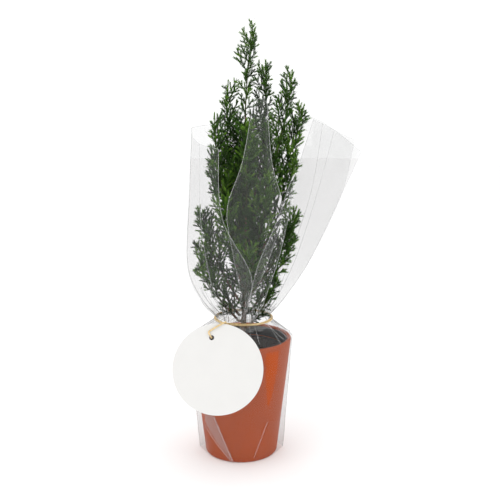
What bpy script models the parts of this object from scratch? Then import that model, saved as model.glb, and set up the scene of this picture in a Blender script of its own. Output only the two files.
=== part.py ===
"""Potted young conifer in a clear gift wrap.

A narrow evergreen with several upright stems stands in a plain tapered pot. A clear film bag
holds the pot, is gathered over the rim and tied, and opens round the plant above. A blank
round tag hangs from the tie. Metres, +Z up, the origin at the middle of the pot's underside.
The front of the object faces -Y.
"""
import math
import random

import bmesh
import bpy
from mathutils import Matrix, Vector
from mathutils.bvhtree import BVHTree

COLLECTION_NAME = "potted_conifer"
GAP = 0.0003
MERGE = 0.00001
NEAR = 0.0000003
NUDGE = 0.00007

# Pot and soil
POT_HEIGHT = 0.113
POT_RIM_RADIUS = 0.0475
POT_BASE_RADIUS = 0.0347
POT_WALL = 0.0036
POT_FLOOR = 0.005
POT_EDGE = 0.0012
POT_SIDES = 40
SOIL_EDGE_HEIGHT = 0.1015
SOIL_TOP_HEIGHT = 0.1045
SOIL_TOP_RADIUS = 0.009

# Trunk
TRUNK_TOP = Vector((0.0046, 0.0, 0.318))
TRUNK_FOOT = Vector((0.0010, 0.0, SOIL_TOP_HEIGHT + GAP))
TRUNK_SWAY = 0.0018
TRUNK_RADIUS = 0.0027
TRUNK_TOP_RADIUS = 0.0008
ROOT_FLARE = 1.7
HALF_FLARE = 1.17
FLARE_HEIGHT = 0.006
TRUNK_STEPS = 12

# Boughs and the stems of the foliage
BOUGH_RADIUS = 0.0013
BOUGH_END_RADIUS = 0.0008
BOUGH_SHARE = 0.28
BOUGH_STEPS = 3
BOUGH_FOOT_OUT = 0.0021
BOUGH_FOOT_RISE = 0.0005
LOWEST_BOUGH = 0.121
LOW_TIP = 0.19
BOUGH_RISE = 0.52
BOUGH_STAGGER = 0.0021
BOUGH_BOW = 0.10
STEM_RADIUS = 0.0009
STEM_END_RADIUS = 0.0005
STEM_END = 0.86
STEM_STEPS = 4

# Sprays of needles
SPRAY_SPACING = 0.0115
SPRAY_LENGTH = 0.036
SPRAY_TO_LIMB = 0.45
SPRAY_TAPER = 0.58
SPRAY_CROWDING = 0.85
SPRAY_FIRST = 0.70
SPRAY_BEYOND = 0.0045
NARROW_FOOT = 0.45
SPRAY_WIDTH = 0.0098
SPRAY_CORE = 0.0006
SPRAY_THICKNESS = 0.0007
SPRAY_ANGLE = math.radians(40)
SPRAY_ROLL = math.radians(42)
TOOTH_TAPER = 0.45
TEETH_LOW = 3
TEETH_HIGH = 2
TIP_SPRAY_START = 0.78
TIP_SPRAY_WIDTH = 0.0049
GOLDEN_TURN = math.radians(137.5)
TRIES = 12
TIP_TURN_STEP = 0.3
SIDE_TURN_STEP = 0.45
SHORTER_STEP = 0.045

# Tip of each foliage mass, seen from the front: (across, depth, height)
FOLIAGE_TIPS = {
    "crest": (0.0222, 0.012, 0.376),
    "right_top": (0.0465, -0.004, 0.366),
    "left_top": (-0.0108, 0.009, 0.357),
    "right_shoulder": (0.0592, 0.010, 0.335),
    "left_shoulder": (-0.0232, -0.008, 0.327),
    "right_side": (0.0530, 0.004, 0.290),
    "left_side": (-0.0270, 0.006, 0.290),
    "right_waist": (0.0545, -0.008, 0.238),
    "left_waist": (-0.0392, -0.006, 0.238),
    "right_skirt": (0.0520, 0.012, 0.212),
    "left_skirt": (-0.0420, 0.008, 0.204),
    "left_foot": (-0.0405, -0.012, 0.188),
    "right_foot": (0.0350, -0.006, 0.172),
    "front_top": (0.0060, -0.028, 0.322),
    "front_middle": (0.0260, -0.036, 0.272),
    "front_left": (-0.0130, -0.037, 0.252),
    "front_foot": (0.0060, -0.040, 0.206),
    "back_top": (0.0260, 0.034, 0.318),
    "back_middle": (-0.0080, 0.038, 0.276),
    "back_foot": (0.0200, 0.041, 0.214),
}
LEADER_TIP = Vector((0.0134, 0.0, 0.398))

# Film wrap
FILM = 0.0004
NECK_CENTRE = Vector((0.0023, 0.0, 0.131))
NECK_RADIUS = 0.0240
NECK_RISE = 0.0006
LAYER_INSET = 0.0016
SLEEVE_SIDES = 32
SLEEVE_FOOT = 0.0005
FIN_FOOT = 0.0405
FIN_TOP = 0.0487
SHOULDER_BEND = 0.004
SHOULDER_RISE = 0.0035
SHOULDER_SHIFT = 0.15

# Tie and tag
TIE_RADIUS = 0.0013
TIE_CLEAR = 0.0015
TAG_RADIUS = 0.0400
TAG_THICKNESS = 0.0008
TAG_CENTRE = Vector((-0.0197, -0.0572, 0.0995))
TAG_LEAN = math.radians(20)
TAG_TURN = math.radians(2.6)
TAG_HOLE_RADIUS = 0.0022
TAG_HOLE_INSET = 0.0120
TAG_HOLE_ANGLE = math.radians(101)
KNOT_ANGLE = math.radians(237)
KNOT_SIZE = Vector((0.0034, 0.0024, 0.0022))
STRING_RADIUS = 0.0006
STRING_STEPS = 18

# The strand's path from the knot, measured from the tag's hole in the plane of the tag
STRING_PATH = (
    (0.0125, 0.0136, 0.0000),
    (0.0075, 0.0112, 0.0018),
    (0.0017, 0.0078, 0.0018),
    (-0.0024, 0.0050, 0.0015),
    (-0.0010, 0.0014, 0.0014),
    (0.0, 0.0, -0.0010),
)


def clear_scene():
    for thing in list(bpy.data.objects):
        bpy.data.objects.remove(thing, do_unlink=True)


def new_collection(name):
    collection = bpy.data.collections.new(name)
    bpy.context.scene.collection.children.link(collection)
    return collection


def new_material(name, colour, roughness, alpha=1.0):
    material = bpy.data.materials.new(name)
    material.use_nodes = True
    shader = material.node_tree.nodes["Principled BSDF"]
    shader.inputs["Base Color"].default_value = (*colour, 1.0)
    shader.inputs["Roughness"].default_value = roughness
    shader.inputs["Alpha"].default_value = alpha
    return material


def new_object(name, data, collection, material):
    thing = bpy.data.objects.new(name, data)
    collection.objects.link(thing)
    if material:
        data.materials.append(material)
    return thing


def mesh_from(bm, name):
    """Turn a bmesh into a mesh whose faces point outwards."""
    bmesh.ops.recalc_face_normals(bm, faces=bm.faces[:])
    mesh = bpy.data.meshes.new(name)
    bm.to_mesh(mesh)
    bm.free()
    return mesh


def turned(name, profile, sides, collection, material):
    """Spin a profile of (radius, height) points round the Z axis."""
    mesh = bpy.data.meshes.new(name)
    corners = [(radius, 0.0, height) for radius, height in profile]
    mesh.from_pydata(corners, [(i, i + 1) for i in range(len(profile) - 1)], [])
    thing = new_object(name, mesh, collection, material)
    screw = thing.modifiers.new("Turn", "SCREW")
    screw.steps = screw.render_steps = sides
    screw.use_merge_vertices = True
    screw.merge_threshold = MERGE
    screw.use_smooth_shade = True
    return thing


def tube(name, line, radii, resolution, collection, material, cyclic=False):
    """A round limb or cord: a bevelled curve with a radius at each point."""
    curve = bpy.data.curves.new(name, "CURVE")
    curve.dimensions = "3D"
    curve.bevel_depth = 1.0
    curve.bevel_resolution = resolution
    curve.use_fill_caps = not cyclic
    spline = curve.splines.new("POLY")
    spline.points.add(len(line) - 1)
    spline.use_cyclic_u = cyclic
    for knot, point, radius in zip(spline.points, line, radii):
        knot.co = (*point, 1.0)
        knot.radius = radius
    return new_object(name, curve, collection, material)


def pot_radius(z):
    return POT_BASE_RADIUS + (POT_RIM_RADIUS - POT_BASE_RADIUS) * z / POT_HEIGHT


def make_pot(collection):
    clay = new_material("pot_clay", (0.38, 0.08, 0.025), 0.45)
    rim_inside = POT_RIM_RADIUS - POT_WALL
    profile = [
        (0.0, POT_FLOOR),
        (pot_radius(POT_FLOOR) - POT_WALL, POT_FLOOR),
        (rim_inside, POT_HEIGHT - POT_EDGE),
        (rim_inside + POT_EDGE, POT_HEIGHT),
        (POT_RIM_RADIUS - POT_EDGE, POT_HEIGHT),
        (POT_RIM_RADIUS, POT_HEIGHT - POT_EDGE),
        (pot_radius(POT_EDGE), POT_EDGE),
        (POT_BASE_RADIUS - POT_EDGE, 0.0),
        (0.0, 0.0),
    ]
    return turned("pot", profile, POT_SIDES, collection, clay)


def make_soil(collection):
    """The soil fills the pot and is slightly mounded round the trunk."""
    earth = new_material("soil", (0.030, 0.021, 0.015), 0.95)
    bottom = POT_FLOOR + GAP
    inset = POT_WALL + 2 * GAP
    profile = [
        (0.0, SOIL_TOP_HEIGHT),
        (SOIL_TOP_RADIUS, SOIL_TOP_HEIGHT),
        (pot_radius(SOIL_EDGE_HEIGHT) - inset, SOIL_EDGE_HEIGHT),
        (pot_radius(bottom) - inset, bottom),
        (0.0, bottom),
    ]
    return turned("soil", profile, POT_SIDES, collection, earth)


def trunk_point(z):
    """Middle of the trunk at a height: a slight lean with one slow sway."""
    share = (z - TRUNK_FOOT.z) / (TRUNK_TOP.z - TRUNK_FOOT.z)
    point = TRUNK_FOOT.lerp(TRUNK_TOP, share)
    point.x += TRUNK_SWAY * math.sin(2 * math.pi * share)
    point.y += TRUNK_SWAY * math.sin(3 * math.pi * share) / 2
    return point


def trunk_radius(z):
    share = (z - TRUNK_FOOT.z) / (TRUNK_TOP.z - TRUNK_FOOT.z)
    return TRUNK_RADIUS + (TRUNK_TOP_RADIUS - TRUNK_RADIUS) * share


def make_trunk(collection, bark):
    """The whole trunk: a flat cut at the soil, a flare at its foot and a true taper."""
    heights = [TRUNK_FOOT.z, TRUNK_FOOT.z + FLARE_HEIGHT / 2, TRUNK_FOOT.z + FLARE_HEIGHT]
    rise = (TRUNK_TOP.z - heights[-1]) / TRUNK_STEPS
    heights += [heights[-1] + rise * (i + 1) for i in range(TRUNK_STEPS)]
    radii = [trunk_radius(z) for z in heights]
    radii[0] *= ROOT_FLARE
    radii[1] *= HALF_FLARE
    line = [trunk_point(z) for z in heights]
    line[0].xy = line[1].xy
    return tube("trunk", line, radii, 2, collection, bark)


class Limb:
    """The line of one bough and of the foliage that it carries, from the trunk to the tip."""

    first = BOUGH_SHARE

    def __init__(self, name, tip, order):
        self.name = name
        self.tip = Vector(tip)
        leave = LOWEST_BOUGH + BOUGH_RISE * max(self.tip.z - LOW_TIP, 0.0) + BOUGH_STAGGER * (order % 4)
        root = trunk_point(leave)
        out = Vector((self.tip.x - root.x, self.tip.y - root.y, 0.0)).normalized()
        self.foot = root + out * (trunk_radius(leave) + GAP)
        self.start = self.foot + out * BOUGH_FOOT_OUT + Vector((0.0, 0.0, BOUGH_FOOT_RISE))
        reach = self.tip - self.start
        self.bend = self.start + reach * 0.5 + out * BOUGH_BOW * reach.length
        self.length = reach.length

    def point(self, t):
        return self.start * (1 - t) ** 2 + self.bend * 2 * t * (1 - t) + self.tip * t * t

    def heading(self, t):
        way = (self.bend - self.start) * (1 - t) + (self.tip - self.bend) * t
        return way.normalized()


def make_bough(limb, collection, bark):
    """One tapering bough, from close to the trunk to where the foliage's stem goes on."""
    line = [limb.foot] + [limb.point(BOUGH_SHARE * i / BOUGH_STEPS) for i in range(BOUGH_STEPS + 1)]
    last = len(line) - 1
    radii = [BOUGH_RADIUS + (BOUGH_END_RADIUS - BOUGH_RADIUS) * i / last for i in range(last + 1)]
    return tube("bough_" + limb.name, line, radii, 1, collection, bark)


class LeaderLimb(Limb):
    """The trunk's own tip: its foliage goes on from the top of the trunk."""

    first = 0.0

    def __init__(self, name, tip):
        self.name = name
        self.tip = Vector(tip)
        self.start = trunk_point(TRUNK_TOP.z)
        reach = self.tip - self.start
        self.bend = self.start + Vector((0.0, 0.0, reach.length / 2))
        self.length = reach.length


def frame_at(point, heading, roll):
    """A matrix whose X axis is the heading. Its Y axis faces across the front, turned by roll."""
    across = heading.cross(Vector((0, 1, 0))).normalized()
    side = Matrix.Rotation(roll, 3, heading) @ across
    up = heading.cross(side)
    matrix = Matrix((heading, side, up)).transposed().to_4x4()
    matrix.translation = point
    return matrix


def stem_mesh(limb, roll):
    """The three-sided stem of a foliage mass, a closed tapering tube."""
    bm = bmesh.new()
    for i in range(STEM_STEPS + 1):
        t = limb.first + (STEM_END - limb.first) * i / STEM_STEPS
        radius = STEM_RADIUS + (STEM_END_RADIUS - STEM_RADIUS) * i / STEM_STEPS
        point = limb.point(t)
        if i == 0:
            point = point + limb.heading(t) * GAP
        place = frame_at(point, limb.heading(t), roll) @ Matrix.Rotation(math.pi / 2, 4, "Y")
        ring = place @ Matrix.Diagonal((radius, radius, radius, 1.0))
        if i == 0:
            bmesh.ops.create_circle(bm, cap_ends=True, radius=1.0, segments=3, matrix=ring)
            flat = bm.faces[:][0]
            corners = [ring.inverted() @ v.co for v in flat.verts]
            continue
        grown = bmesh.ops.extrude_face_region(bm, geom=[flat])["geom"]
        if i > 1:
            bmesh.ops.delete(bm, geom=[flat], context="FACES_ONLY")
        flat = next(part for part in grown if isinstance(part, bmesh.types.BMFace))
        for vertex, corner in zip(flat.verts, corners):
            vertex.co = ring @ corner
    return mesh_from(bm, "stem")


def blade_outline(length, width, teeth):
    """Half of a spray's outline, from its root to its tip, with teeth that point forward."""
    pitch = length / (teeth + 1)
    half = [(0.0, SPRAY_CORE)]
    for i in range(teeth):
        taper = 1.0 - TOOTH_TAPER * i / teeth
        half.append((pitch * (i + 1.15), SPRAY_CORE + width * taper))
        half.append((pitch * (i + 0.9), SPRAY_CORE))
    return half + [(length, 0.0)]


def plain_outline(length, width):
    """Half of the outline that a toothed spray fits in."""
    edge = SPRAY_CORE + GAP
    return [(0.0, edge), (length * 0.3, width + edge),
            (length * 0.8, width * 0.6 + edge), (length + GAP, GAP)]


def blade_mesh(half, thickness, place):
    """A flat blade of even thickness from half of its outline."""
    other = [(x, -y) for x, y in reversed(half) if y > SPRAY_CORE / 2]
    bm = bmesh.new()
    rim = [bm.verts.new((x, y, -thickness / 2)) for x, y in half + other]
    face = bmesh.ops.contextual_create(bm, geom=rim)["faces"][0]
    grown = bmesh.ops.extrude_face_region(bm, geom=[face])["geom"]
    top = [part for part in grown if isinstance(part, bmesh.types.BMVert)]
    bmesh.ops.translate(bm, verts=top, vec=(0.0, 0.0, thickness))
    bmesh.ops.transform(bm, matrix=place, verts=bm.verts[:])
    return mesh_from(bm, "spray")


def tree_of(mesh):
    corners = [vertex.co.copy() for vertex in mesh.vertices]
    return BVHTree.FromPolygons(corners, [tuple(face.vertices) for face in mesh.polygons])


def evaluated_tree(thing):
    depsgraph = bpy.context.evaluated_depsgraph_get()
    mesh = bpy.data.meshes.new_from_object(thing.evaluated_get(depsgraph))
    mesh.transform(thing.matrix_world)
    tree = tree_of(mesh)
    bpy.data.meshes.remove(mesh)
    return tree


def is_sound(mesh):
    """Whether a mesh is one closed body, also after points that nearly meet are merged."""
    bm = bmesh.new()
    bm.from_mesh(mesh)
    bmesh.ops.triangulate(bm, faces=bm.faces[:])
    bmesh.ops.remove_doubles(bm, verts=bm.verts[:], dist=NEAR)
    closed = all(edge.is_manifold for edge in bm.edges)
    reached = {bm.verts[:][0]}
    front = list(reached)
    while front:
        vertex = front.pop()
        for edge in vertex.link_edges:
            mate = edge.other_vert(vertex)
            if mate not in reached:
                reached.add(mate)
                front.append(mate)
    whole = len(reached) == len(bm.verts)
    bm.free()
    return closed and whole


def union_mesh(body, loose, solver):
    union = body.modifiers.new("Fuse", "BOOLEAN")
    union.operation = "UNION"
    union.operand_type = "COLLECTION"
    union.collection = loose
    union.solver = solver
    depsgraph = bpy.context.evaluated_depsgraph_get()
    depsgraph.update()
    fused = bpy.data.meshes.new_from_object(body.evaluated_get(depsgraph))
    body.modifiers.clear()
    return fused


def best_union(body, loose):
    """The union by the first solver that gives one sound body, or nothing."""
    for solver in ("EXACT", "MANIFOLD"):
        attempt = union_mesh(body, loose, solver)
        if is_sound(attempt):
            return attempt
    return None


def fuse(name, stem, blades, collection, material):
    """Join a stem and its sprays into one closed body, without any spray that can't join."""
    body = new_object(name, stem, collection, material)
    loose = new_collection(name + "_sprays")
    pieces = [new_object(name + "_spray_" + str(i), blade, loose, None) for i, blade in enumerate(blades)]
    fused = best_union(body, loose)
    if fused is None:
        for piece in pieces:
            loose.objects.unlink(piece)
        for piece in pieces:
            loose.objects.link(piece)
            for axis in range(3):
                attempt = best_union(body, loose)
                if attempt is not None:
                    fused = attempt
                    break
                piece.location[axis] += NUDGE
            else:
                loose.objects.unlink(piece)
    body.data = fused
    for piece in pieces:
        bpy.data.objects.remove(piece, do_unlink=True)
    bpy.data.collections.remove(loose)
    return body


class Mass:
    """One plume of foliage: its stem, and sprays that are added while they keep clear."""

    def __init__(self, limb, seed):
        self.limb = limb
        self.dice = random.Random(seed)
        self.count = round(limb.length * (STEM_END - limb.first) / SPRAY_SPACING)
        self.turn = self.dice.uniform(0.0, 2 * math.pi)
        self.reach = (limb.tip - trunk_point(TRUNK_TOP.z)).xy.length + SPRAY_BEYOND
        self.stem = stem_mesh(limb, self.turn)
        self.tree = tree_of(self.stem)
        self.blades = []
        self.trees = []

    def try_spray(self, t, heading, length, width, teeth, roll, limbs, others):
        """Add a spray at a place on the stem unless it would touch something else."""
        root = self.limb.point(t) - heading * STEM_END_RADIUS * 0.4
        place = frame_at(root, heading, roll)
        ghost = blade_mesh(plain_outline(length, width), SPRAY_THICKNESS + 2 * GAP, place)
        ghost_tree = tree_of(ghost)
        bpy.data.meshes.remove(ghost)
        if any(ghost_tree.overlap(tree) for tree in limbs + others):
            return False
        self.blades.append(blade_mesh(blade_outline(length, width, teeth), SPRAY_THICKNESS, place))
        self.trees.append(ghost_tree)
        return True

    def fitted(self, t, heading, length):
        """The length of a spray, cut back where it would stand out past the mass's own reach."""
        root = self.limb.point(t)
        for _ in range(6):
            end = root + heading * length
            rise = (end.z - self.limb.start.z) / (self.limb.tip.z - self.limb.start.z)
            room = self.reach * min(1.0, NARROW_FOOT + rise)
            if (end - trunk_point(min(end.z, TRUNK_TOP.z))).xy.length <= room:
                break
            length *= 0.85
        return length

    def add_tip(self, limbs, others):
        """The spray at the end of the stem, which reaches the mass's own tip."""
        reach = self.limb.tip - self.limb.point(TIP_SPRAY_START)
        for i in range(TRIES):
            roll = self.turn + i * TIP_TURN_STEP
            if self.try_spray(TIP_SPRAY_START, reach.normalized(), reach.length, TIP_SPRAY_WIDTH,
                              TEETH_LOW, roll, limbs, others):
                return

    def add_side(self, index, limbs, others):
        """One side spray, tried at a few turns until one has room."""
        share = ((index + 0.3) / self.count) ** SPRAY_CROWDING
        t = self.limb.first + (STEM_END - self.limb.first) * share
        along = self.limb.heading(t)
        full = min(SPRAY_LENGTH, SPRAY_TO_LIMB * self.limb.length) * (1.0 - SPRAY_TAPER * share)
        full *= min(1.0, SPRAY_FIRST + share)
        teeth = TEETH_LOW if share < 0.5 else TEETH_HIGH
        for i in range(TRIES):
            turn = self.turn + GOLDEN_TURN * index + SIDE_TURN_STEP * i * (-1) ** i
            across = frame_at(Vector(), along, turn).col[1].xyz
            angle = SPRAY_ANGLE * self.dice.uniform(0.85, 1.1)
            heading = (along * math.cos(angle) + across * math.sin(angle)).normalized()
            wanted = full * self.dice.uniform(0.9, 1.1) * (1.0 - SHORTER_STEP * i)
            length = self.fitted(t, heading, wanted)
            roll = SPRAY_ROLL * self.dice.uniform(0.6, 1.4) * (-1) ** index
            width = SPRAY_WIDTH * length / SPRAY_LENGTH
            if self.try_spray(t, heading, length, width, teeth, roll, limbs, others):
                return


def make_foliage(limbs, obstacles, collection, leaf):
    """Grow all masses side by side, so that each gets its share of the room."""
    masses = [Mass(limb, seed + 1) for seed, limb in enumerate(limbs)]
    for index in range(-1, max(mass.count for mass in masses)):
        for mass in masses:
            others = [tree for mate in masses if mate is not mass for tree in [mate.tree] + mate.trees]
            if index < 0:
                mass.add_tip(obstacles, others)
            elif index < mass.count:
                mass.add_side(index, obstacles, others)
    return [fuse("foliage_" + m.limb.name, m.stem, m.blades, collection, leaf) for m in masses]


def smooth_value(values, share):
    """A value on the smooth line through evenly spaced values, at a share from 0 to 1."""
    place = share * (len(values) - 1)
    i = min(int(place), len(values) - 2)
    t = place - i
    before = values[max(i - 1, 0)]
    after = values[min(i + 2, len(values) - 1)]
    a, b = values[i], values[i + 1]
    return (a * 2 + (b - before) * t + (before * 2 - a * 5 + b * 4 - after) * t * t
            + (a * 3 - before - b * 3 + after) * t * t * t) / 2


def film_wall(name, bm, offset, collection, film):
    """Turn an open surface into a thin film of even thickness."""
    mesh = bpy.data.meshes.new(name)
    bm.to_mesh(mesh)
    bm.free()
    thing = new_object(name, mesh, collection, film)
    wall = thing.modifiers.new("Wall", "SOLIDIFY")
    wall.thickness = FILM
    wall.offset = offset
    wall.use_even_offset = True
    return thing


def film_sheet(name, rows, across, up, collection, film):
    """A thin sheet through rows of points, the lowest row first."""
    bm = bmesh.new()
    bmesh.ops.create_grid(bm, x_segments=across, y_segments=up, size=0.5)
    for vertex in bm.verts:
        u, v = vertex.co.x + 0.5, vertex.co.y + 0.5
        vertex.co = smooth_value([smooth_value(row, u) for row in rows], v)
    return film_wall(name, bm, 0.0, collection, film)


def ring_point(angle, radius):
    return NECK_CENTRE + Vector((math.cos(angle) * radius, math.sin(angle) * radius, 0.0))


def neck_row(first, last, count=5, inset=0.0):
    """Points on the neck ring between two directions in degrees, seen from above."""
    step = (last - first) / (count - 1)
    row = [ring_point(math.radians(first + step * i), NECK_RADIUS - inset) for i in range(count)]
    return [point + Vector((0.0, 0.0, NECK_RISE)) for point in row]


def row_of(*triples):
    return [Vector(triple) for triple in triples]


def make_film_back(collection, film):
    """The back of the bag's mouth, from the left crease behind the plant to the right corner."""
    rows = [
        neck_row(178, 2),
        row_of((-0.038, 0.0015, 0.150), (-0.028, 0.034, 0.152), (0.008, 0.046, 0.152),
               (0.034, 0.034, 0.152), (0.0430, 0.008, 0.150)),
        row_of((-0.0500, 0.0015, 0.182), (-0.036, 0.046, 0.186), (0.010, 0.064, 0.188),
               (0.046, 0.052, 0.190), (0.0665, 0.018, 0.184)),
        row_of((-0.0475, 0.0015, 0.245), (-0.036, 0.052, 0.248), (0.012, 0.070, 0.250),
               (0.062, 0.060, 0.250), (0.0950, 0.020, 0.245)),
        row_of((-0.0445, 0.0015, 0.3085), (-0.032, 0.054, 0.311), (0.016, 0.072, 0.314),
               (0.070, 0.062, 0.318), (0.1130, 0.020, 0.286)),
    ]
    return film_sheet("film_back", rows, 11, 6, collection, film)


def make_film_left(collection, film):
    """The front left of the mouth, from the left crease to the edge that falls to the middle."""
    rows = [
        neck_row(182, 258),
        row_of((-0.038, -0.0005, 0.150), (-0.034, -0.024, 0.150), (-0.020, -0.038, 0.150),
               (-0.008, -0.044, 0.150), (0.004, -0.045, 0.150)),
        row_of((-0.0500, -0.0005, 0.182), (-0.045, -0.034, 0.182), (-0.030, -0.052, 0.182),
               (-0.011, -0.060, 0.182), (0.0095, -0.061, 0.184)),
        row_of((-0.0475, -0.0005, 0.245), (-0.045, -0.028, 0.240), (-0.036, -0.049, 0.236),
               (-0.026, -0.058, 0.234), (-0.0150, -0.062, 0.234)),
        row_of((-0.0445, -0.0005, 0.308), (-0.042, -0.024, 0.301), (-0.036, -0.041, 0.296),
               (-0.028, -0.050, 0.293), (-0.0180, -0.055, 0.291)),
    ]
    return film_sheet("film_left", rows, 7, 6, collection, film)


def make_film_strip(collection, film):
    """The long narrow fold that crosses the plant at the front right."""
    rows = [
        neck_row(264, 292, 3),
        row_of((0.006, -0.0475, 0.152), (0.012, -0.0480, 0.152), (0.0185, -0.046, 0.152)),
        row_of((0.0150, -0.065, 0.193), (0.022, -0.065, 0.193), (0.0310, -0.061, 0.193)),
        row_of((0.0285, -0.067, 0.226), (0.033, -0.066, 0.226), (0.0390, -0.062, 0.226)),
        row_of((0.0430, -0.062, 0.266), (0.0440, -0.061, 0.266), (0.0455, -0.059, 0.266)),
    ]
    return film_sheet("film_strip", rows, 3, 6, collection, film)


def make_film_wing(collection, film):
    """The second layer of the bag's right corner, in front of the back sheet."""
    rows = [
        neck_row(4, 40, inset=LAYER_INSET),
        row_of((0.0420, 0.0045, 0.150), (0.0400, 0.012, 0.151), (0.0370, 0.018, 0.152),
               (0.0340, 0.023, 0.152), (0.0300, 0.028, 0.152)),
        row_of((0.0660, 0.0145, 0.184), (0.0600, 0.022, 0.186), (0.0535, 0.029, 0.188),
               (0.0460, 0.035, 0.189), (0.0380, 0.040, 0.190)),
        row_of((0.0945, 0.0165, 0.245), (0.0830, 0.024, 0.247), (0.0715, 0.030, 0.249),
               (0.0600, 0.035, 0.250), (0.0500, 0.039, 0.251)),
        row_of((0.1060, 0.0165, 0.297), (0.0960, 0.026, 0.302), (0.0870, 0.034, 0.307),
               (0.0780, 0.042, 0.312), (0.0700, 0.048, 0.316)),
    ]
    return film_sheet("film_wing", rows, 5, 6, collection, film)


def make_film_veil(collection, film):
    """The fold of film that stands close in front of the plant and ends in a narrow peak."""
    rows = [
        neck_row(252, 296, 3, inset=LAYER_INSET),
        row_of((0.000, -0.040, 0.160), (0.006, -0.042, 0.160), (0.012, -0.041, 0.160)),
        row_of((-0.006, -0.053, 0.200), (0.010, -0.056, 0.200), (0.026, -0.052, 0.200)),
        row_of((-0.011, -0.054, 0.240), (0.012, -0.056, 0.240), (0.036, -0.052, 0.240)),
        row_of((0.002, -0.048, 0.280), (0.013, -0.050, 0.285), (0.027, -0.047, 0.280)),
        row_of((0.011, -0.044, 0.329), (0.017, -0.045, 0.333), (0.023, -0.043, 0.329)),
    ]
    return film_sheet("film_veil", rows, 4, 7, collection, film)


def film_tube(name, cuts, place, collection, film):
    """An open tube of film. Its points come from a function of the direction and the rise."""
    bm = bmesh.new()
    bmesh.ops.create_cone(bm, cap_ends=False, segments=SLEEVE_SIDES, radius1=1.0, radius2=1.0, depth=1.0)
    uprights = [edge for edge in bm.edges if abs(edge.verts[0].co.z - edge.verts[1].co.z) > 0.5]
    bmesh.ops.subdivide_edges(bm, edges=uprights, cuts=cuts)
    for vertex in bm.verts:
        vertex.co = place(math.atan2(vertex.co.y, vertex.co.x), vertex.co.z + 0.5)
    bmesh.ops.recalc_face_normals(bm, faces=bm.faces[:])
    return film_wall(name, bm, 1.0, collection, film)


def sleeve_point(direction, rise):
    """A point of the film round the pot, which has a flat fin at each side."""
    height = SLEEVE_FOOT + rise * (POT_HEIGHT - 2 * POT_EDGE - SLEEVE_FOOT)
    radius = pot_radius(height) + GAP + FILM
    fin = max(FIN_FOOT + (FIN_TOP - FIN_FOOT) * height / POT_HEIGHT, radius)
    bend = math.acos(min(radius / fin, 1.0))
    away = math.asin(abs(math.sin(direction)))
    reach = radius / math.cos(bend - away) if away < bend else radius
    return Vector((math.cos(direction) * reach, math.sin(direction) * reach, height))


def make_film_sleeve(collection, film):
    """The bag round the pot: an open tube from the pot's foot to its rim."""
    return film_tube("film_sleeve", 1, sleeve_point, collection, film)


def shoulder_point(direction, rise):
    """A point of the film that is drawn in from the pot's rim up to the neck."""
    rim = POT_RIM_RADIUS + GAP + 2 * FILM
    stations = (
        (rim, POT_HEIGHT - 2 * POT_EDGE + GAP, 0.0),
        (rim, POT_HEIGHT + GAP, 0.0),
        (POT_RIM_RADIUS - SHOULDER_BEND, POT_HEIGHT + SHOULDER_RISE, SHOULDER_SHIFT),
        (NECK_RADIUS, NECK_CENTRE.z - FILM, 1.0),
    )
    radius, height, shift = stations[round(rise * (len(stations) - 1))]
    middle = Vector((NECK_CENTRE.x * shift, 0.0, height))
    return middle + Vector((math.cos(direction), math.sin(direction), 0.0)) * radius


def make_film_shoulder(collection, film):
    """The bag drawn in over the rim, up to the tied neck."""
    return film_tube("film_shoulder", 2, shoulder_point, collection, film)


def make_tie(collection, raffia):
    """A ring of raffia round the neck, with its knot at the front left."""
    count = 20
    radius = NECK_RADIUS + TIE_CLEAR + TIE_RADIUS
    ring = [ring_point(2 * math.pi * i / count, radius) for i in range(count)]
    tube("tie_ring", ring, [TIE_RADIUS] * count, 1, collection, raffia, cyclic=True)
    bm = bmesh.new()
    bmesh.ops.create_uvsphere(bm, u_segments=8, v_segments=5, radius=1.0)
    place = Matrix.Translation(ring_point(KNOT_ANGLE, radius + TIE_RADIUS + KNOT_SIZE.y + GAP))
    turn = Matrix.Rotation(KNOT_ANGLE + math.pi / 2, 4, "Z")
    bmesh.ops.transform(bm, matrix=place @ turn @ Matrix.Diagonal((*KNOT_SIZE, 1.0)), verts=bm.verts[:])
    new_object("tie_knot", mesh_from(bm, "tie_knot"), collection, raffia)


def make_string(collection, raffia):
    """The strand from the knot over the tag's edge and into its hole."""
    reach = NECK_RADIUS + TIE_CLEAR + 2 * TIE_RADIUS + 2 * KNOT_SIZE.y + STRING_RADIUS + 2 * GAP
    place = tag_matrix()
    hole = tag_hole()
    line = [ring_point(KNOT_ANGLE, reach)]
    line += [place @ (hole + Vector(step)) for step in STRING_PATH]
    smooth = [smooth_value(line, i / STRING_STEPS) for i in range(STRING_STEPS + 1)]
    tube("tag_string", smooth, [STRING_RADIUS] * len(smooth), 0, collection, raffia)


def tag_matrix():
    turn = Matrix.Rotation(TAG_TURN, 4, "Z") @ Matrix.Rotation(math.pi / 2 - TAG_LEAN, 4, "X")
    return Matrix.Translation(TAG_CENTRE) @ turn


def tag_hole():
    reach = TAG_RADIUS - TAG_HOLE_INSET
    return Vector((math.cos(TAG_HOLE_ANGLE) * reach, math.sin(TAG_HOLE_ANGLE) * reach, 0.0))


def make_tag(collection, card):
    """A round card with a punched hole: a flat outline given a thickness."""
    curve = bpy.data.curves.new("tag", "CURVE")
    curve.dimensions = "2D"
    curve.fill_mode = "BOTH"
    curve.extrude = TAG_THICKNESS / 2
    for centre, radius, count in ((Vector(), TAG_RADIUS, 40), (tag_hole(), TAG_HOLE_RADIUS, 12)):
        spline = curve.splines.new("POLY")
        spline.points.add(count - 1)
        spline.use_cyclic_u = True
        for i, knot in enumerate(spline.points):
            angle = 2 * math.pi * i / count
            knot.co = (centre.x + radius * math.cos(angle), centre.y + radius * math.sin(angle), 0.0, 1.0)
    thing = new_object("tag", curve, collection, card)
    thing.matrix_world = tag_matrix()
    return thing


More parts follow.
